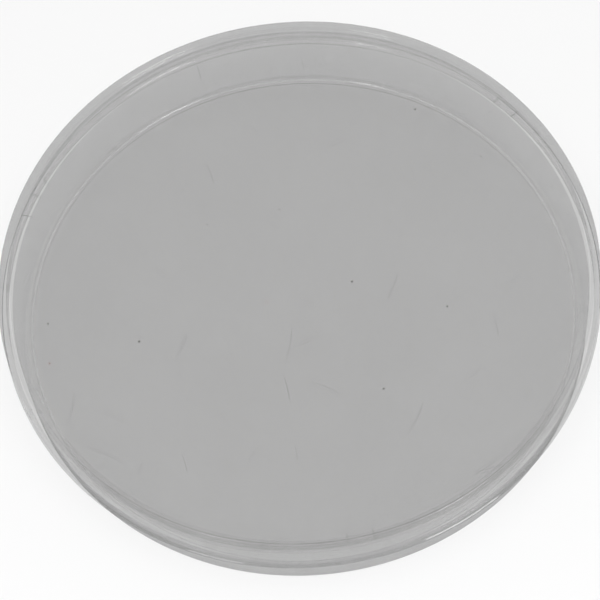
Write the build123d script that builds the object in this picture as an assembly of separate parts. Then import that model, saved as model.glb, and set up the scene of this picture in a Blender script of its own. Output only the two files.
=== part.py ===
from build123d import *
import os
from math import cos, radians, sin

# Clear round laboratory dish in two loose pieces: a shallow base and an overlapping lid.
# Millimetres. +Z is up, the dish's axis is the Z axis, and Z = 0 is the surface it stands on.

# Overall size
lid_outer_diameter = 100.0
overall_height = 14.8

# Lid
lid_plate_thickness = 1.0
lid_height = 6.4
skirt_thickness = 1.1
skirt_bead_height = 0.8
skirt_bead_depth = 0.25
skirt_inner_draft = 0.20
stack_rim_height = 0.6
stack_rim_width = 1.55

# Spacer pads that hold the lid off the base's rim, so that air gets in
pad_count = 3
pad_height = 0.35
pad_width_angle = 5.0
pad_reach = 2.0
first_pad_angle = 276.0

# Base
base_wall_thickness = 1.1
base_inner_draft = 0.75
base_floor_thickness = 1.1
foot_height = 0.4
foot_width = 1.9
rim_gap = 0.65
seat_clearance = 0.02

# Moulded edge radii
lid_top_outer_radius = 0.7
lid_top_inner_radius = 0.2
stack_recess_corner_radius = 0.1
lid_inside_corner_radius = 0.45
skirt_edge_radius = 0.35
bead_edge_radius = 0.2
bead_neck_radius = 0.15
rim_edge_radius = 0.4
floor_corner_radius = 0.5
foot_outer_radius = 0.5
foot_edge_radius = 0.2

# Worked out from the values above
bead_radius = lid_outer_diameter / 2
lid_top_radius = bead_radius - skirt_bead_depth
stack_rim_inner_radius = lid_top_radius - stack_rim_width
plate_top = overall_height - stack_rim_height
plate_underside = plate_top - lid_plate_thickness
skirt_bottom = overall_height - lid_height
bead_top = skirt_bottom + skirt_bead_height
skirt_inner_top_radius = lid_top_radius - skirt_thickness
skirt_inner_bottom_radius = skirt_inner_top_radius + skirt_inner_draft
base_outer_radius = skirt_inner_top_radius - rim_gap
base_height = plate_underside - pad_height - seat_clearance
rim_inner_radius = base_outer_radius - base_wall_thickness
floor_inner_radius = rim_inner_radius - base_inner_draft
floor_underside = foot_height
floor_top = foot_height + base_floor_thickness
foot_inner_radius = base_outer_radius - foot_width


def ring_section(corners):
    """A closed section in the XZ plane. Each corner is (radius, height, edge radius)."""
    section = make_face(Polyline([(r, 0, z) for r, z, edge in corners], close=True))
    for r, z, edge in corners:
        if edge > 0:
            corner = section.vertices().sort_by_distance((r, 0, z))[0]
            section = fillet(corner, radius=edge)
    return section


def base_dish():
    """Shallow cup: flat floor on a low foot ring, and a thin wall with a rounded rim."""
    section = ring_section(
        [
            (0, floor_underside, 0),
            (foot_inner_radius, floor_underside, foot_edge_radius),
            (foot_inner_radius, 0, foot_edge_radius),
            (base_outer_radius, 0, foot_outer_radius),
            (base_outer_radius, base_height, rim_edge_radius),
            (rim_inner_radius, base_height, rim_edge_radius),
            (floor_inner_radius, floor_top, floor_corner_radius),
            (0, floor_top, 0),
        ]
    )
    return revolve(section, axis=Axis.Z)


def lid_shell():
    """Flat plate with a raised stacking rim above it and a short, beaded skirt below it."""
    section = ring_section(
        [
            (0, plate_underside, 0),
            (skirt_inner_top_radius, plate_underside, lid_inside_corner_radius),
            (skirt_inner_bottom_radius, skirt_bottom, skirt_edge_radius),
            (bead_radius, skirt_bottom, skirt_edge_radius),
            (bead_radius, bead_top - skirt_bead_depth, bead_edge_radius),
            (lid_top_radius, bead_top, bead_neck_radius),
            (lid_top_radius, overall_height, lid_top_outer_radius),
            (stack_rim_inner_radius, overall_height, lid_top_inner_radius),
            (stack_rim_inner_radius, plate_top, stack_recess_corner_radius),
            (0, plate_top, 0),
        ]
    )
    return revolve(section, axis=Axis.Z)


def spacer_pad(angle):
    """One low pad under the lid's plate. It starts inside the skirt and reaches over the base's rim."""
    outer = skirt_inner_top_radius + skirt_thickness / 2
    inner = skirt_inner_top_radius - pad_reach
    half_angle = radians(pad_width_angle / 2)
    corner_x = lid_outer_diameter * cos(half_angle)
    corner_y = lid_outer_diameter * sin(half_angle)
    sector = make_face(Polyline([(0, 0), (corner_x, -corner_y), (corner_x, corner_y)], close=True))
    ring = Circle(outer) - Circle(inner)
    pad = extrude(ring & sector, amount=pad_height + lid_plate_thickness / 2)
    return Pos(0, 0, plate_underside - pad_height) * Rot(0, 0, angle) * pad


def lid():
    """The lid's shell with its spacer pads, as one moulding."""
    solid = lid_shell()
    for index in range(pad_count):
        solid += spacer_pad(first_pad_angle + index * 360 / pad_count)
    return solid


os.makedirs("parts", exist_ok=True)
export_step(base_dish(), "parts/base_dish.step")
export_step(lid(), "parts/lid.step")
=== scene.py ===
import math
from types import SimpleNamespace

import bpy
from mathutils import Matrix, Vector


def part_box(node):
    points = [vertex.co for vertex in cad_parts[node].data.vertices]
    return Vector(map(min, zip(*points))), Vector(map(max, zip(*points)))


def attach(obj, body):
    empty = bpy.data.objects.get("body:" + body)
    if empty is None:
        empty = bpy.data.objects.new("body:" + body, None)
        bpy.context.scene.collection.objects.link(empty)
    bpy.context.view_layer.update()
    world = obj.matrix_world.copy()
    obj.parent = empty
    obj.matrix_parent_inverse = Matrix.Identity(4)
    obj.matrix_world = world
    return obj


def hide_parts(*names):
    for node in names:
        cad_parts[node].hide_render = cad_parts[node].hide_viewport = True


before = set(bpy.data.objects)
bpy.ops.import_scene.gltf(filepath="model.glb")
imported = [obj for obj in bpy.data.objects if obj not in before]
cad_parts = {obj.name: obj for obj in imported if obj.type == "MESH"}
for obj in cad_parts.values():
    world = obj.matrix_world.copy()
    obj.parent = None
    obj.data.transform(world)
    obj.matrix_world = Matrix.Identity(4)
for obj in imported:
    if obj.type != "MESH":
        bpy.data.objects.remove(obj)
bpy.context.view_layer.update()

MM = 0.001

# Sizes of the two mouldings, in millimetres, the same as the CAD model's.
LID_HEIGHT = 6.4
PLATE = 1.0
SKIRT = 1.1
SKIRT_DRAFT = 0.2
BEAD_HEIGHT = 0.8
BEAD_DEPTH = 0.25
STACK_RIM_HEIGHT = 0.6
STACK_RIM_WIDTH = 1.55
PAD_HEIGHT = 0.35
PAD_REACH = 2.0
PAD_ANGLE = 5.0
PAD_ANGLES = (276.0, 36.0, 156.0)
BASE_WALL = 1.1
BASE_DRAFT = 0.75
BASE_FLOOR = 1.1
FOOT_HEIGHT = 0.4
FOOT_WIDTH = 1.9

base_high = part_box("base_dish")[1]
lid_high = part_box("lid")[1]
TOP = lid_high.z / MM
BEAD_RADIUS = lid_high.x / MM
LID_TOP_RADIUS = BEAD_RADIUS - BEAD_DEPTH
BASE_RADIUS = base_high.x / MM
BASE_HEIGHT = base_high.z / MM
FLOOR_TOP = FOOT_HEIGHT + BASE_FLOOR
PLATE_TOP = TOP - STACK_RIM_HEIGHT
PLATE_UNDER = PLATE_TOP - PLATE
SKIRT_BOTTOM = TOP - LID_HEIGHT
SKIRT_INNER_RADIUS = LID_TOP_RADIUS - SKIRT
PAD_INNER_RADIUS = SKIRT_INNER_RADIUS - PAD_REACH

# The mesh: steps round the axis and in a rounded corner. A pad's sides are PAD_STEP degrees across,
# and its inner end is PAD_EDGE millimetres across.
SEGMENTS = 384
ARC_STEPS = 7
PAD_STEP = 0.04
PAD_EDGE = 0.04
# A face keeps its own flat normal where the smooth one leans further away than this cosine.
FLAT_LIMIT = 0.8


# ---------------------------------------------------------------- shapes

def rounded_outline(corners):
    """Points and outward normals of a closed outline. Each corner is (radius, height, edge radius)."""
    points, normals = [], []
    count = len(corners)
    for i, (r, z, edge) in enumerate(corners):
        here = Vector((r, z))
        to_last = (Vector(corners[i - 1][:2]) - here).normalized()
        to_next = (Vector(corners[(i + 1) % count][:2]) - here).normalized()
        if edge <= 0:
            along = (to_next - to_last).normalized()
            points.append(here)
            normals.append(None if r <= 0 else Vector((along.y, -along.x)))
            continue
        half = to_last.angle(to_next) / 2
        reach = edge / math.tan(half)
        centre = here + (to_last + to_next).normalized() * (edge / math.sin(half))
        start = here + to_last * reach - centre
        end = here + to_next * reach - centre
        turn = math.atan2(start.x * end.y - start.y * end.x, start.dot(end))
        side = 1 if turn > 0 else -1
        for k in range(ARC_STEPS + 1):
            a = turn * k / ARC_STEPS
            arm = Vector((start.x * math.cos(a) - start.y * math.sin(a),
                          start.x * math.sin(a) + start.y * math.cos(a)))
            points.append(centre + arm)
            normals.append(arm.normalized() * side)
    return points, normals


def turn_angles(dents=()):
    """Angles round the axis, in degrees. Each dent's two ends get a close pair, for a steep side."""
    ends = []
    for centre, width in dents:
        for side in (-1, 1):
            end = centre + side * width / 2
            ends += [end % 360, (end + side * PAD_STEP) % 360]
    even = [360 * k / SEGMENTS for k in range(SEGMENTS)]
    gap = 180 / SEGMENTS
    kept = [a for a in even if all(abs((a - e + 180) % 360 - 180) > gap for e in ends)]
    return sorted(kept + ends)


def lathe(name, corners, angles, lowered=None):
    """A closed turned body. The outline runs from the axis to the axis, anticlockwise.

    Where lowered is given, it gives a point's height from its radius, height and angle.
    """
    points, normals = rounded_outline(corners)
    vertices, faces, shading, rings = [], [], [], []
    for index, (p, n) in enumerate(zip(points, normals)):
        if n is None:
            rings.append([len(vertices)])
            vertices.append((0, 0, p.y * MM))
            shading.append(Vector((0, 0, -1 if index == 0 else 1)))
            continue
        ring = []
        for degrees in angles:
            a = math.radians(degrees)
            z = lowered(p.x, p.y, degrees) if lowered else p.y
            ring.append(len(vertices))
            vertices.append((p.x * MM * math.cos(a), p.x * MM * math.sin(a), z * MM))
            level = Vector((0, 0, -1))
            shading.append(level if z < p.y else Vector((n.x * math.cos(a), n.x * math.sin(a), n.y)))
        rings.append(ring)
    turns = len(angles)
    for lower, upper in zip(rings, rings[1:]):
        for k in range(turns):
            j = (k + 1) % turns
            if len(lower) == 1:
                faces.append((lower[0], upper[j], upper[k]))
            elif len(upper) == 1:
                faces.append((lower[k], lower[j], upper[0]))
            else:
                faces.append((lower[k], lower[j], upper[j], upper[k]))
    mesh = bpy.data.meshes.new(name)
    mesh.from_pydata(vertices, [], faces)
    mesh.polygons.foreach_set("use_smooth", [True] * len(mesh.polygons))
    mesh.update()
    corner_normals = []
    for face in mesh.polygons:
        for v in face.vertices:
            smooth = shading[v]
            corner_normals.append(smooth if smooth.dot(face.normal) > FLAT_LIMIT else face.normal.copy())
    mesh.normals_split_custom_set(corner_normals)
    obj = bpy.data.objects.new(name, mesh)
    bpy.context.scene.collection.objects.link(obj)
    return obj


def build_base():
    foot_inner = BASE_RADIUS - FOOT_WIDTH
    rim_inner = BASE_RADIUS - BASE_WALL
    floor_inner = rim_inner - BASE_DRAFT
    corners = [
        (0, FOOT_HEIGHT, 0),
        (foot_inner, FOOT_HEIGHT, 0.2),
        (foot_inner, 0, 0.2),
        (BASE_RADIUS, 0, 0.5),
        (BASE_RADIUS, BASE_HEIGHT, 0.4),
        (rim_inner, BASE_HEIGHT, 0.4),
        (floor_inner, FLOOR_TOP, 0.5),
        (0, FLOOR_TOP, 0),
    ]
    return lathe("base_moulding", corners, turn_angles())


def build_lid():
    bead_top = SKIRT_BOTTOM + BEAD_HEIGHT
    skirt_outlet = SKIRT_INNER_RADIUS + SKIRT_DRAFT
    rim_inner = LID_TOP_RADIUS - STACK_RIM_WIDTH
    corners = [
        (0, PLATE_UNDER, 0),
        (PAD_INNER_RADIUS - PAD_EDGE, PLATE_UNDER, 0),
        (PAD_INNER_RADIUS, PLATE_UNDER, 0),
        (SKIRT_INNER_RADIUS, PLATE_UNDER, 0.45),
        (skirt_outlet, SKIRT_BOTTOM, 0.35),
        (BEAD_RADIUS, SKIRT_BOTTOM, 0.35),
        (BEAD_RADIUS, bead_top - BEAD_DEPTH, 0.2),
        (LID_TOP_RADIUS, bead_top, 0.15),
        (LID_TOP_RADIUS, TOP, 0.7),
        (rim_inner, TOP, 0.2),
        (rim_inner, PLATE_TOP, 0.1),
        (0, PLATE_TOP, 0),
    ]

    def padded(r, z, degrees):
        """The underside drops by a pad's height within each spacer pad."""
        nearest = min(abs((degrees - pad + 180) % 360 - 180) for pad in PAD_ANGLES)
        turned_in = nearest < PAD_ANGLE / 2 + PAD_STEP / 2
        reached = PAD_INNER_RADIUS - PAD_EDGE / 2 < r < skirt_outlet
        if turned_in and reached and z <= PLATE_UNDER + PAD_EDGE:
            return min(z, PLATE_UNDER - PAD_HEIGHT)
        return z

    dents = [(pad, PAD_ANGLE) for pad in PAD_ANGLES]
    return lathe("lid_moulding", corners, turn_angles(dents), padded)


# ---------------------------------------------------------------- materials

# Tints: how much light one pass through a face leaves. 1 is clear. The outside of each piece carries the
# grey, and its inside is almost clear. The near tint is for a face met from its front, the far tint for
# one met from its back.
TINT_WARMTH = 0.0006
BASE_NEAR_TINT = 0.62
BASE_FAR_TINT = 0.735
LID_NEAR_TINT = 0.735
LID_FAR_TINT = 0.71
PLATE_TINT = 0.735
UNDERSIDE_TINT = 0.78
BEAD_TINT = 0.81
# Painted shade: the darker edge inside the base's foot.
FOOT_EDGE_PAINTED_SHADE = 0.70
WALL_TINT = 0.998
INNER_TINT = 0.975
SKIRT_INNER_TINT = 0.97
# Painted shade in the corner inside the lid's skirt.
CORNER_PAINTED_SHADE = 0.87
# Painted shade in the crease above the base's floor.
CREASE_PAINTED_SHADE = 0.92
# Painted shade along the spacer pads' sides.
PAD_SIDE_PAINTED_SHADE = 0.85
CLOUD_TINT = 0.80
CLOUD_SCALE = 0.05
CLOUD_RANGE = (0.25, 0.75)
MOST_CLOUD = 0.10

# How level the surface is, from 0 on a wall to 1 on a plate, where each kind of surface starts and is full.
FLAT = (0.90, 0.995)
UPRIGHT = (0.12, 0.35)
LEANING = (0.97, 0.999)

# Heights and radii, in millimetres, between which the mask of a part of the moulding rises or falls.
BASE_SKIN_RADII = (BASE_RADIUS - 0.7, BASE_RADIUS - 0.4)
BASE_LOW = (0.7, 0.8)
FOOT_INSIDE = (BASE_RADIUS - 1.1, BASE_RADIUS - 0.9)
WALL_INSIDE = (BASE_RADIUS - 1.0, BASE_RADIUS - 0.8)
WALL_NEAR_FADE = (2.6, SKIRT_BOTTOM - 2.2)
WALL_FAR_FADE = (9.7, 10.3)
CREASE_RISE = (FLOOR_TOP + 0.15, FLOOR_TOP + 0.35)
CREASE_FALL = (FLOOR_TOP + 0.7, FLOOR_TOP + 1.5)
FLOOR_LINE_RISE = (FLOOR_TOP - 0.15, FLOOR_TOP - 0.05)
FLOOR_LINE_FALL = (FLOOR_TOP + 0.2, FLOOR_TOP + 0.3)
LID_SKIN_RADII = (BEAD_RADIUS - 0.7, BEAD_RADIUS - 0.4)
LID_LOW = (SKIRT_BOTTOM + 0.4, SKIRT_BOTTOM + 0.5)
BEAD_FALL = (SKIRT_BOTTOM + 0.8, SKIRT_BOTTOM + 1.0)
PLATE_RISE = (PLATE_TOP - 0.4, PLATE_TOP - 0.2)
CORNER_RADII = (BEAD_RADIUS - 2.05, BEAD_RADIUS - 1.9)
CORNER_RISE = (PLATE_UNDER - 0.6, PLATE_UNDER - 0.3)
CORNER_FALL = (PLATE_UNDER + 0.1, PLATE_UNDER + 0.3)
PAD_RISE = (PLATE_UNDER - 0.6, PLATE_UNDER - 0.5)
PAD_RADII = (PAD_INNER_RADIUS - 0.1, PAD_INNER_RADIUS)
PAD_SIDE_FALL = (0.1, 0.25)
WORN_RADII = (48.9, 49.0)
WORN_RISE = (TOP - 1.0, TOP - 0.8)

# Gloss: how much each kind of surface mirrors when seen straight on, and the most at a slant.
FLAT_GLOSS = 0.05
WALL_GLOSS = 0.08
EDGE_GLOSS = 0.09
MOST_GLOSS = 0.3
GRAZING_POWER = 5.0
WALL_MIRROR = 0.8
INNER_GLOSS = 0.3
WORN_GLOSS = 0.35
GLOSS_ROUGHNESS = 0.045
SMEAR_SCALE = 0.09
SMEAR_STRETCH = 0.4
SMEAR_TURN = 35.0
SMEAR_RANGE = (0.5, 0.75)
SMEAR_ROUGHNESS = 0.05
SCRATCH_ROUGHNESS = 0.2
WORN_ROUGHNESS = 0.5
WAVE_SCALE = 0.35
WAVE_STRENGTH = 0.006
WAVE_DEPTH = 0.0005

# Marks of use, in millimetres where they are sizes.
SCRATCH_SPACING = 9.0
SCRATCH_WIDTH = 0.075
SCRATCH_CORE = 0.5
SCRATCH_BOW = 0.03
SCRATCH_CHANCE = 0.55
SCRATCH_REACH = 0.8
SCRATCH_TAPER = 0.8
SCRATCH_DEPTH = 0.26
SCRATCH_TINT = 0.5
SPECK_SPACING = 13.0
SPECK_RADII = (0.12, 0.26)
SPECK_CORE = 0.6
SPECK_CHANCE = 0.45
SPECK_COVER = 0.5
DARK_SPECK = (0.10, 0.09, 0.08, 1)
RED_SPECK = (0.55, 0.06, 0.05, 1)
RED_CHANCE = (0.90, 0.92)
# Painted light lines: a whitish diffuse layer along the moulded edges and, stronger, along the line where
# the wall meets the floor.
EDGE_LIGHT_LINE = 0.02
FLOOR_LIGHT_LINE = 0.17
LIGHT_LINE_GREY = 0.9
CHIP_AZIMUTH = 201.0
CHIP_RADIUS = 3.4
CHIP_CORE = 0.4
CHIP_SCALE = 0.9
CHIP_STRETCH = 0.25
CHIP_RANGE = (0.52, 0.60)
CHIP_COVER = 0.3
CHIP_GREY = 0.80

# What is left of a light ray that goes straight through a plate or a wall.
PLATE_SHADE = 0.955
WALL_SHADE = 0.965


def feed(tree, socket, value):
    """Links a socket's value, or sets a plain one."""
    if isinstance(value, bpy.types.NodeSocket):
        tree.links.new(value, socket)
    else:
        socket.default_value = value


def node(tree, kind, **inputs):
    made = tree.nodes.new(kind)
    for key, value in inputs.items():
        feed(tree, made.inputs[key.replace("_", " ")], value)
    return made


def maths(tree, operation, first, second=None, third=None, clamp=False):
    made = tree.nodes.new("ShaderNodeMath")
    made.operation = operation
    made.use_clamp = clamp
    for index, value in enumerate((first, second, third)):
        if value is not None:
            feed(tree, made.inputs[index], value)
    return made.outputs[0]


def step(tree, value, low, high, to_low=0.0, to_high=1.0):
    """A smooth step from to_low at low to to_high at high."""
    made = tree.nodes.new("ShaderNodeMapRange")
    made.interpolation_type = "SMOOTHSTEP"
    for index, entry in enumerate((value, low, high, to_low, to_high)):
        feed(tree, made.inputs[index], entry)
    return made.outputs[0]


def fall(tree, value, low, high):
    """A smooth step from 1 at low to 0 at high."""
    return step(tree, value, low, high, 1.0, 0.0)


def product(tree, first, *others):
    for other in others:
        first = maths(tree, "MULTIPLY", first, other)
    return first


def mix_shader(tree, factor, first, second):
    made = tree.nodes.new("ShaderNodeMixShader")
    feed(tree, made.inputs[0], factor)
    tree.links.new(first, made.inputs[1])
    tree.links.new(second, made.inputs[2])
    return made.outputs[0]


def mix_colour(tree, factor, first, second):
    made = tree.nodes.new("ShaderNodeMix")
    made.data_type = "RGBA"
    feed(tree, made.inputs["Factor"], factor)
    feed(tree, made.inputs["A"], first)
    feed(tree, made.inputs["B"], second)
    return made.outputs["Result"]


def grey(value, warmth=0.0):
    return (value + warmth, value, value - warmth, 1)


SEED_SLOPE = 0.37


def coordinates(tree, seed):
    """The place on the piece in millimetres. A seed moves it, so that each piece has its own marks."""
    place = tree.nodes.new("ShaderNodeTexCoord")
    made = tree.nodes.new("ShaderNodeVectorMath")
    made.operation = "MULTIPLY_ADD"
    tree.links.new(place.outputs["Object"], made.inputs[0])
    made.inputs[1].default_value = (1 / MM, 1 / MM, 1 / MM)
    made.inputs[2].default_value = (seed, seed * SEED_SLOPE, 0)
    return made.outputs[0]


def noise(tree, where, scale, detail=2.0, stretch=(1, 1, 1), turn=0.0):
    """Noise with a scale per millimetre, which can be turned about Z and stretched."""
    mapping = tree.nodes.new("ShaderNodeMapping")
    tree.links.new(where, mapping.inputs["Vector"])
    mapping.inputs["Rotation"].default_value = (0, 0, math.radians(turn))
    turned = tree.nodes.new("ShaderNodeMapping")
    tree.links.new(mapping.outputs[0], turned.inputs["Vector"])
    turned.inputs["Scale"].default_value = stretch
    made = node(tree, "ShaderNodeTexNoise", Vector=turned.outputs[0], Scale=scale, Detail=detail)
    return made.outputs[0]


def cells(tree, where, spacing):
    """A grid of cells a spacing apart, and three numbers from 0 to 1 that are each cell's own."""
    made = tree.nodes.new("ShaderNodeTexVoronoi")
    made.voronoi_dimensions = "2D"
    tree.links.new(where, made.inputs["Vector"])
    made.inputs["Scale"].default_value = 1 / spacing
    chance = tree.nodes.new("ShaderNodeSeparateColor")
    tree.links.new(made.outputs["Color"], chance.inputs[0])
    return made, chance.outputs


def scratches(tree, where, spacing, width):
    """Fine, slightly bowed scratches, in some of the cells of a grid, each at its own angle and length."""
    grid, chance = cells(tree, where, spacing)
    local = tree.nodes.new("ShaderNodeVectorMath")
    local.operation = "MULTIPLY_ADD"
    tree.links.new(grid.outputs["Position"], local.inputs[0])
    local.inputs[1].default_value = (-1, -1, -1)
    tree.links.new(where, local.inputs[2])
    turned = tree.nodes.new("ShaderNodeVectorRotate")
    turned.rotation_type = "Z_AXIS"
    tree.links.new(local.outputs[0], turned.inputs["Vector"])
    tree.links.new(maths(tree, "MULTIPLY", chance["Red"], math.pi), turned.inputs["Angle"])
    split = tree.nodes.new("ShaderNodeSeparateXYZ")
    tree.links.new(turned.outputs[0], split.inputs[0])
    bow = maths(tree, "MULTIPLY", maths(tree, "POWER", split.outputs["X"], 2.0), SCRATCH_BOW)
    across = maths(tree, "ABSOLUTE", maths(tree, "ADD", split.outputs["Y"], bow))
    along = maths(tree, "ABSOLUTE", split.outputs["X"])
    longer = maths(tree, "SUBTRACT", chance["Green"], SCRATCH_CHANCE)
    reach = maths(tree, "MULTIPLY", longer, spacing * SCRATCH_REACH)
    line = fall(tree, across, width * SCRATCH_CORE, width)
    ends = fall(tree, maths(tree, "SUBTRACT", along, reach), -SCRATCH_TAPER, 0.0)
    return product(tree, line, ends)


def specks(tree, where, spacing, least, most):
    """Dust: one small round speck in some of the cells of a grid. Gives a mask and a cell's own number."""
    grid, chance = cells(tree, where, spacing)
    size = step(tree, chance["Red"], SPECK_CHANCE, 1.0, 0.0, most / spacing)
    radius = product(tree, size, step(tree, chance["Green"], 0.0, 1.0, least / most, 1.0))
    edge = maths(tree, "MULTIPLY", radius, SPECK_CORE)
    return fall(tree, grid.outputs["Distance"], edge, radius), chance["Blue"]


def near(tree, where, centre, radius):
    """1 in the core of a ball about a point in millimetres, falling to 0 at the ball's edge."""
    apart = tree.nodes.new("ShaderNodeVectorMath")
    apart.operation = "DISTANCE"
    tree.links.new(where, apart.inputs[0])
    apart.inputs[1].default_value = centre
    return fall(tree, apart.outputs["Value"], radius * CHIP_CORE, radius)


def warm(tint):
    return grey(tint, TINT_WARMTH)


def cool(tint):
    return grey(tint, -TINT_WARMTH)


def surface(tree):
    """Where a point is on the dish, in millimetres, and which kind of surface it is on."""
    where = coordinates(tree, 0.0)
    place = tree.nodes.new("ShaderNodeSeparateXYZ")
    tree.links.new(where, place.inputs[0])
    x, y, height = place.outputs
    squares = maths(tree, "ADD", maths(tree, "POWER", x, 2.0), maths(tree, "POWER", y, 2.0))
    geometry = tree.nodes.new("ShaderNodeNewGeometry")
    normal = tree.nodes.new("ShaderNodeSeparateXYZ")
    tree.links.new(geometry.outputs["Normal"], normal.inputs[0])
    level = maths(tree, "ABSOLUTE", normal.outputs["Z"])
    flat = step(tree, level, *FLAT)
    upright = fall(tree, level, *UPRIGHT)
    return SimpleNamespace(
        where=where,
        x=x,
        y=y,
        height=height,
        radius=maths(tree, "SQRT", squares),
        flat=flat,
        upright=upright,
        edge=maths(tree, "SUBTRACT", 1.0, maths(tree, "ADD", flat, upright), clamp=True),
        leaning=fall(tree, level, *LEANING),
        back=geometry.outputs["Backfacing"],
    )


def pad_side_shade(tree, at):
    """1 along the two sides of each spacer pad, where the lid's tint paints shade."""
    turn = maths(tree, "ARCTAN2", at.y, at.x)
    turn = maths(tree, "MULTIPLY_ADD", turn, 180 / math.pi, 360.0 - min(PAD_ANGLES))
    off_middle = maths(tree, "PINGPONG", turn, 180 / len(PAD_ANGLES))
    off_side = maths(tree, "ABSOLUTE", maths(tree, "SUBTRACT", off_middle, PAD_ANGLE / 2))
    reached = product(tree, step(tree, at.radius, *PAD_RADII), step(tree, at.height, *PAD_RISE))
    return product(tree, fall(tree, off_side, *PAD_SIDE_FALL), reached)


def inside_tint(tree, at):
    """The almost clear inside of a moulding."""
    return mix_colour(tree, at.flat, warm(WALL_TINT), warm(INNER_TINT))


def base_tint(tree, at):
    """The base's tint, with painted shade: a dark edge inside the foot and a darker crease above the floor.

    On the wall, the tint fades out going up, because the skirt outside it carries the tint there.
    """
    low = fall(tree, at.height, *BASE_LOW)
    tint = mix_colour(tree, low, inside_tint(tree, at), warm(UNDERSIDE_TINT))
    # Painted shade: a dark edge inside the foot.
    foot_edge_shade = product(tree, at.edge, low, fall(tree, at.radius, *FOOT_INSIDE))
    tint = mix_colour(tree, foot_edge_shade, tint, warm(FOOT_EDGE_PAINTED_SHADE))
    near_part = fall(tree, at.height, *WALL_NEAR_FADE)
    far_part = fall(tree, at.height, *WALL_FAR_FADE)
    change = maths(tree, "SUBTRACT", far_part, near_part)
    open_part = maths(tree, "MULTIPLY_ADD", change, at.back, near_part)
    outside = product(tree, step(tree, at.radius, *BASE_SKIN_RADII), open_part)
    skin = mix_colour(tree, at.back, cool(BASE_NEAR_TINT), cool(BASE_FAR_TINT))
    tint = mix_colour(tree, outside, tint, skin)
    # Painted shade: a darker crease above the floor.
    lower_wall = product(tree, step(tree, at.height, *CREASE_RISE), fall(tree, at.height, *CREASE_FALL))
    crease = product(tree, lower_wall, fall(tree, at.radius, *WALL_INSIDE))
    return mix_colour(tree, crease, tint, grey(CREASE_PAINTED_SHADE, TINT_WARMTH * 2))


def lid_tint(tree, at):
    """The lid's tint: skirt, bead, the plate's top, with painted shade along the pads' sides and in the
    corner inside the skirt.
    """
    skirt_inner = product(tree, at.upright, at.back)
    inner = mix_colour(tree, skirt_inner, inside_tint(tree, at), warm(SKIRT_INNER_TINT))
    # Painted shade along the sides of the spacer pads.
    inner = mix_colour(tree, pad_side_shade(tree, at), inner, warm(PAD_SIDE_PAINTED_SHADE))
    tint = mix_colour(tree, fall(tree, at.height, *LID_LOW), inner, warm(UNDERSIDE_TINT))
    skin = mix_colour(tree, at.back, cool(LID_NEAR_TINT), cool(LID_FAR_TINT))
    skin = mix_colour(tree, fall(tree, at.height, *BEAD_FALL), skin, cool(BEAD_TINT))
    tint = mix_colour(tree, step(tree, at.radius, *LID_SKIN_RADII), tint, skin)
    on_top = maths(tree, "SUBTRACT", step(tree, at.height, *PLATE_RISE), at.back, clamp=True)
    tint = mix_colour(tree, on_top, tint, warm(PLATE_TINT))
    # Painted shade in the corner inside the skirt.
    corner = product(
        tree,
        maths(tree, "MAXIMUM", at.edge, at.flat),
        step(tree, at.radius, *CORNER_RADII),
        step(tree, at.height, *CORNER_RISE),
        fall(tree, at.height, *CORNER_FALL),
    )
    return mix_colour(tree, corner, tint, warm(CORNER_PAINTED_SHADE))


def polish(tree, at, own, lines):
    """The polished skin: how much it mirrors, more at a slant, and the glossy shader that does it."""
    wiped = noise(tree, own, SMEAR_SCALE, stretch=(1, SMEAR_STRETCH, 1), turn=SMEAR_TURN)
    smear = step(tree, wiped, *SMEAR_RANGE)
    worn = product(tree, step(tree, at.radius, *WORN_RADII), at.edge, step(tree, at.height, *WORN_RISE))
    roughness = maths(tree, "MULTIPLY_ADD", smear, SMEAR_ROUGHNESS, GLOSS_ROUGHNESS)
    roughness = maths(tree, "MULTIPLY_ADD", lines, SCRATCH_ROUGHNESS, roughness)
    roughness = maths(tree, "MULTIPLY_ADD", worn, WORN_ROUGHNESS, roughness)
    mirror = mix_colour(tree, at.upright, grey(1.0), grey(WALL_MIRROR))
    waves = node(tree, "ShaderNodeBump", Strength=WAVE_STRENGTH, Distance=WAVE_DEPTH)
    tree.links.new(noise(tree, own, WAVE_SCALE), waves.inputs["Height"])
    gloss = node(tree, "ShaderNodeBsdfGlossy", Color=mirror, Roughness=roughness)
    tree.links.new(waves.outputs[0], gloss.inputs["Normal"])

    facing = tree.nodes.new("ShaderNodeLayerWeight").outputs["Facing"]
    grazing = maths(tree, "POWER", facing, GRAZING_POWER)
    least = step(tree, at.upright, 0.0, 1.0, FLAT_GLOSS, WALL_GLOSS)
    least = maths(tree, "MULTIPLY_ADD", at.edge, EDGE_GLOSS - FLAT_GLOSS, least)
    shine = maths(tree, "MULTIPLY_ADD", grazing, maths(tree, "SUBTRACT", MOST_GLOSS, least), least)
    by_side = step(tree, at.back, 0.0, 1.0, 1.0, INNER_GLOSS)
    by_wear = step(tree, worn, 0.0, 1.0, 1.0, WORN_GLOSS)
    return product(tree, shine, by_side, by_wear), gloss.outputs[0]


def dusted(tree, at, own, body):
    """Specks of dust on what faces up, most of them dark and a few red."""
    dust, kind = specks(tree, own, SPECK_SPACING, *SPECK_RADII)
    upward = product(tree, at.flat, maths(tree, "SUBTRACT", 1.0, at.back))
    colour = mix_colour(tree, step(tree, kind, *RED_CHANCE), DARK_SPECK, RED_SPECK)
    dirt = node(tree, "ShaderNodeBsdfDiffuse", Color=colour)
    return mix_shader(tree, product(tree, dust, upward, SPECK_COVER), body, dirt.outputs[0])


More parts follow.
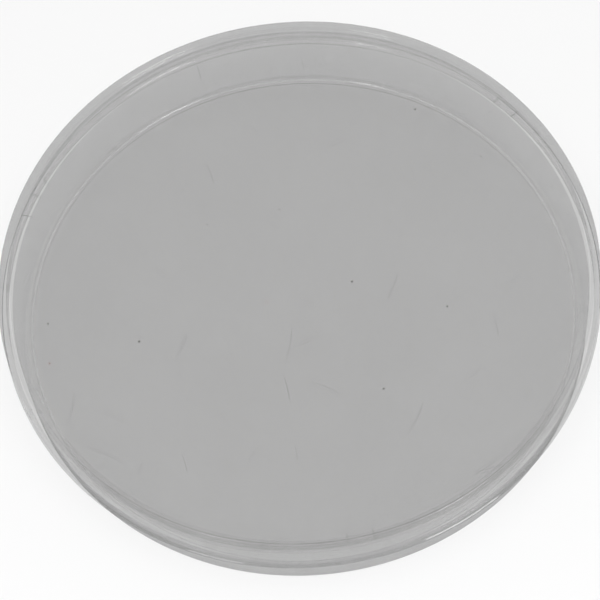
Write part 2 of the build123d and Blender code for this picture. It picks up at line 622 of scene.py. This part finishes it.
def painted_light_lines(tree, at, body):
    """Painted light lines: a whitish diffuse layer along the line where the wall meets the floor, and a
    fainter one along the other moulded edges.
    """
    line = product(tree, step(tree, at.height, *FLOOR_LINE_RISE), fall(tree, at.height, *FLOOR_LINE_FALL))
    line = product(tree, line, at.leaning, at.edge)
    light_line_amount = maths(tree, "MULTIPLY", at.edge, EDGE_LIGHT_LINE)
    light_line_amount = maths(tree, "MULTIPLY_ADD", line, FLOOR_LIGHT_LINE, light_line_amount)
    light_layer = node(tree, "ShaderNodeBsdfDiffuse", Color=grey(LIGHT_LINE_GREY))
    return mix_shader(tree, light_line_amount, body, light_layer.outputs[0])


def chipped(tree, at, own, body, radius, height):
    """Short whitened nicks at one knocked place, at a radius and height."""
    chip = math.radians(CHIP_AZIMUTH)
    knocked = (radius * math.cos(chip), radius * math.sin(chip), height)
    grains = noise(tree, own, CHIP_SCALE, 1.0, (CHIP_STRETCH, 1, CHIP_STRETCH), CHIP_AZIMUTH)
    damage = near(tree, at.where, knocked, CHIP_RADIUS)
    nicks = product(tree, step(tree, grains, *CHIP_RANGE), damage, at.leaning)
    bruise = node(tree, "ShaderNodeBsdfDiffuse", Color=grey(CHIP_GREY))
    return mix_shader(tree, maths(tree, "MULTIPLY", nicks, CHIP_COVER), body, bruise.outputs[0])


def clear_plastic(name, seed, moulding_tint, chip_radius, chip_height):
    """Clear moulded polystyrene with a light smoke tint, painted shade and painted light lines at some
    edges, a polished skin, and a dish's usual marks.
    """
    material = bpy.data.materials.new(name)
    material.use_nodes = True
    tree = material.node_tree
    tree.nodes.clear()
    at = surface(tree)
    own = coordinates(tree, seed)

    # The body: its tint with painted shade at some edges, clouding in the moulding, and fine scratches on
    # the flats.
    cloud = step(tree, noise(tree, own, CLOUD_SCALE, 3.0), *CLOUD_RANGE, 0.0, MOST_CLOUD)
    tint = mix_colour(tree, cloud, moulding_tint(tree, at), warm(CLOUD_TINT))
    lines = product(tree, scratches(tree, own, SCRATCH_SPACING, SCRATCH_WIDTH), at.flat)
    tint = mix_colour(tree, maths(tree, "MULTIPLY", lines, SCRATCH_DEPTH), tint, grey(SCRATCH_TINT))
    through = node(tree, "ShaderNodeBsdfTransparent", Color=tint)

    shine, gloss = polish(tree, at, own, lines)
    body = mix_shader(tree, shine, through.outputs[0], gloss)
    body = dusted(tree, at, own, body)
    # Painted light lines along the moulded edges.
    body = painted_light_lines(tree, at, body)
    body = chipped(tree, at, own, body, chip_radius, chip_height)

    # Light goes through without being bent, so that the dish's shadow stays pale.
    shade = mix_colour(tree, at.flat, grey(WALL_SHADE), grey(PLATE_SHADE))
    clear = node(tree, "ShaderNodeBsdfTransparent", Color=shade)
    path = tree.nodes.new("ShaderNodeLightPath")
    bounced = mix_shader(tree, path.outputs["Is Diffuse Ray"], body, clear.outputs[0])
    shadowed = mix_shader(tree, path.outputs["Is Shadow Ray"], bounced, clear.outputs[0])
    out = tree.nodes.new("ShaderNodeOutputMaterial")
    tree.links.new(shadowed, out.inputs["Surface"])
    return material


FLOOR_GREY = 0.88
FLOOR_ROUGHNESS = 0.9


def floor_material():
    material = bpy.data.materials.new("studio_floor")
    material.use_nodes = True
    shader = material.node_tree.nodes["Principled BSDF"]
    shader.inputs["Base Color"].default_value = grey(FLOOR_GREY)
    shader.inputs["Roughness"].default_value = FLOOR_ROUGHNESS
    shader.inputs["Specular IOR Level"].default_value = 0.0
    return material


# ---------------------------------------------------------------- the dish

# Each piece's marks come from its own part of the patterns.
BASE_SEED = 17.0
LID_SEED = 53.0

base = build_base()
base_plastic = clear_plastic("base_polystyrene", BASE_SEED, base_tint, BASE_RADIUS, BASE_HEIGHT)
base.data.materials.append(base_plastic)
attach(base, "base")
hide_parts("base_dish")

lid = build_lid()
lid_plastic = clear_plastic("lid_polystyrene", LID_SEED, lid_tint, BEAD_RADIUS, SKIRT_BOTTOM)
lid.data.materials.append(lid_plastic)
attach(lid, "lid")
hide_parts("lid")


# ---------------------------------------------------------------- studio

ROOM_GREY = 0.42
BACKGROUND_GREY = 0.85
DARK_GREY = 0.14
DARK_MIDDLE = -90.0
DARK_HALF_WIDTH = 20.0
DARK_SOFTNESS = 0.1
LIGHT_DISTANCE = 1.0
FLOOR_SIZE = 6.0
FLOOR_Z = -0.0002


def plane(name, size, z):
    half = size / 2
    corners = [(-half, -half, z), (half, -half, z), (half, half, z), (-half, half, z)]
    mesh = bpy.data.meshes.new(name)
    mesh.from_pydata(corners, [], [(0, 1, 2, 3)])
    obj = bpy.data.objects.new(name, mesh)
    bpy.context.scene.collection.objects.link(obj)
    return obj


def area_light(name, azimuth, elevation, width, height, power):
    """A soft light at an azimuth and elevation in degrees, which faces the dish."""
    data = bpy.data.lights.new(name, "AREA")
    data.shape = "ELLIPSE"
    data.size = width
    data.size_y = height
    data.energy = power
    obj = bpy.data.objects.new(name, data)
    turn, rise = math.radians(azimuth), math.radians(elevation)
    away = Vector((math.cos(turn) * math.cos(rise), math.sin(turn) * math.cos(rise), math.sin(rise)))
    obj.location = away * LIGHT_DISTANCE
    obj.rotation_euler = (-away).to_track_quat("-Z", "Y").to_euler()
    bpy.context.scene.collection.objects.link(obj)
    return obj


def studio_world():
    """Even grey surroundings for the reflections, darker in front where the photographer stands."""
    world = bpy.data.worlds.new("studio")
    world.use_nodes = True
    tree = world.node_tree
    background = tree.nodes["Background"]
    place = tree.nodes.new("ShaderNodeTexCoord")
    split = tree.nodes.new("ShaderNodeSeparateXYZ")
    tree.links.new(place.outputs["Generated"], split.inputs[0])
    turn = maths(tree, "ARCTAN2", split.outputs["Y"], split.outputs["X"])
    off_middle = maths(tree, "ABSOLUTE", maths(tree, "SUBTRACT", turn, math.radians(DARK_MIDDLE)))
    half = math.radians(DARK_HALF_WIDTH)
    dark = fall(tree, off_middle, half * (1 - DARK_SOFTNESS), half * (1 + DARK_SOFTNESS))
    room = mix_colour(tree, dark, grey(ROOM_GREY), grey(DARK_GREY))
    path = tree.nodes.new("ShaderNodeLightPath")
    seen = mix_colour(tree, path.outputs["Is Camera Ray"], room, grey(BACKGROUND_GREY))
    tree.links.new(seen, background.inputs["Color"])
    return world


floor = plane("studio_floor", FLOOR_SIZE, FLOOR_Z)
floor.data.materials.append(floor_material())

scene = bpy.context.scene
scene.world = studio_world()
scene.view_settings.view_transform = "Standard"
scene.cycles.transparent_max_bounces = 32
scene.cycles.glossy_bounces = 1

# Each light: name, azimuth and elevation in degrees, width and height in metres, power in watts.
# One broad light from above the camera lights the floor. The strips only show as highlights:
# the high ones on the rings at the back, the low ones on the skirt's bead in front.
OVERHEAD = ("overhead_softbox", 270, 76, 1.1, 0.9, 9.2)
STRIPS = [
    ("right_strip", 309, 36, 0.36, 0.30, 2.6),
    ("left_strip", 237, 36, 0.20, 0.30, 1.0),
    ("right_low_strip", 309, 19, 0.42, 0.16, 0.6),
    ("left_low_strip", 238, 19, 0.26, 0.16, 0.17),
]
area_light(*OVERHEAD).visible_glossy = False
for strip in STRIPS:
    area_light(*strip).visible_diffuse = False


# ---------------------------------------------------------------- camera

CAMERA_ELEVATION = math.radians(62.25)
CAMERA_ROLL = -0.116
CAMERA_DISTANCE = 0.4
CAMERA_LENS = 141.0
CAMERA_SENSOR = 36.0
CAMERA_SHIFT = (-0.0042, 0.02)

camera_data = bpy.data.cameras.new("camera")
camera_data.lens = CAMERA_LENS
camera_data.sensor_width = CAMERA_SENSOR
camera_data.shift_x, camera_data.shift_y = CAMERA_SHIFT
camera_data.clip_start = 0.01
camera = bpy.data.objects.new("camera", camera_data)
camera_away = Vector((0, -math.cos(CAMERA_ELEVATION), math.sin(CAMERA_ELEVATION)))
camera.location = camera_away * CAMERA_DISTANCE
turn = (-camera_away).to_track_quat("-Z", "Y").to_matrix()
camera.rotation_euler = (turn @ Matrix.Rotation(CAMERA_ROLL, 3, "Z")).to_euler()
scene.collection.objects.link(camera)
scene.camera = camera
